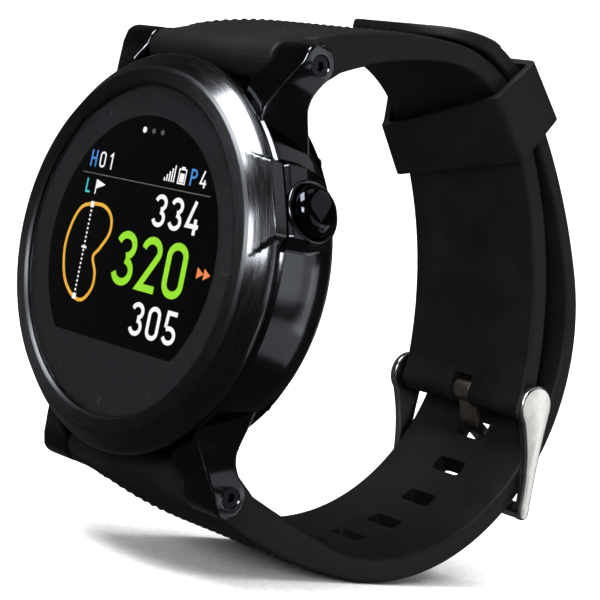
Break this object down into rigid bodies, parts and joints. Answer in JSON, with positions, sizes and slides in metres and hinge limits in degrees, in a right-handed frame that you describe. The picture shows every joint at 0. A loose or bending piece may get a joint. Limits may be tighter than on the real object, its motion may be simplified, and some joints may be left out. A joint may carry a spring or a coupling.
{
  "type": "golf gps watch",
  "caption": "Round wrist watch with satellite positioning for golf: polished dark case with lugs, push button, colour display and a buckled silicone strap.",
  "frame": {"origin": "centre of the outer face of the case back", "axes": "+Z towards twelve o'clock, +X towards three o'clock and the button, -Y out of the dial, +Y into the strap loop"},
  "size_m": [0.0475, 0.068, 0.0689],
  "materials": {
    "case": "polished gunmetal black plating",
    "bezel": "circular-brushed black plated steel",
    "glass": "clear cover glass with a dark printed border",
    "touch": "clear touch layer",
    "display": "black display, lit",
    "seal": "moulded seal",
    "moulding": "moulded tray",
    "flex": "polyimide flex",
    "board": "circuit board",
    "can": "stamped tin-plated can",
    "ceramic": "ceramic patch with silvered top",
    "cell": "foil pouch cell",
    "motor": "pressed steel can",
    "switch": "moulded switch",
    "back": "satin stainless steel",
    "contact": "gold plated",
    "insulator": "moulded insulator",
    "screw": "black plated screw",
    "button": "polished black",
    "spring": "spring steel",
    "bar": "turned steel",
    "strap": "black silicone",
    "buckle": "polished stainless steel"
  },
  "bodies": {
    "case": {"main_case": "case", "bezel_ring": "bezel", "bezel_gasket": "seal", "cover_glass": "glass", "glass_gasket": "seal", "touch_panel": "touch", "display_panel": "display", "display_frame": "moulding", "display_flex": "flex", "main_board": "board", "gps_antenna": "ceramic", "shield_can": "can", "tact_switch": "switch", "battery": "cell", "battery_tray": "moulding", "vibration_motor": "motor", "case_back": "back", "contact_block": "insulator", "contact_pins": "contact", "back_gasket": "seal", "back_screws": "screw", "button_spring": "spring", "button_seal": "seal", "strap_bar_12": "bar", "strap_bar_6": "bar", "lug_screws_12": "screw", "lug_screws_6": "screw"},
    "button": {"button_cap": "button", "button_clip": "spring"},
    "short_strap": {"strap_12": "strap"},
    "long_strap": {"strap_6": "strap"},
    "buckle": {"buckle_frame": "buckle", "buckle_pin": "bar"},
    "tang": {"buckle_tang": "buckle"},
    "keeper_loop": {"keeper": "strap"}
  },
  "joints": [
    {"name": "button_press", "type": "slide", "parent": "case", "child": "button", "axis": [-0.9336, 0, -0.3584], "range_m": [0, 0.0006], "stiffness_N_per_m": 2500, "springref_m": -0.0006, "deforming": ["button_spring"]},
    {"name": "short_strap_pivot", "type": "hinge", "parent": "case", "child": "short_strap", "pos_m": [0, -0.0053, 0.0243], "axis": [1, 0, 0], "range_deg": [-0.2, 0.2]},
    {"name": "long_strap_pivot", "type": "hinge", "parent": "case", "child": "long_strap", "pos_m": [0, -0.0053, -0.0243], "axis": [1, 0, 0], "range_deg": [-0.2, 0.2]},
    {"name": "buckle_pivot", "type": "hinge", "parent": "short_strap", "child": "buckle", "pos_m": [0, 0.0472, -0.0103], "axis": [1, 0, 0], "range_deg": [-0.8, 2]},
    {"name": "tang_pivot", "type": "hinge", "parent": "buckle", "child": "tang", "pos_m": [0, 0.0472, -0.0103], "axis": [1, 0, 0], "range_deg": [0, 1.5]},
    {"name": "keeper_slide", "type": "hinge", "parent": "short_strap", "child": "keeper_loop", "pos_m": [0, 0.0212, 0.0134], "axis": [1, 0, 0], "range_deg": [-1, 8]}
  ],
  "couplings": [
    {"joint": "long_strap_pivot", "follows": "short_strap_pivot", "ratio": -1}
  ]
}
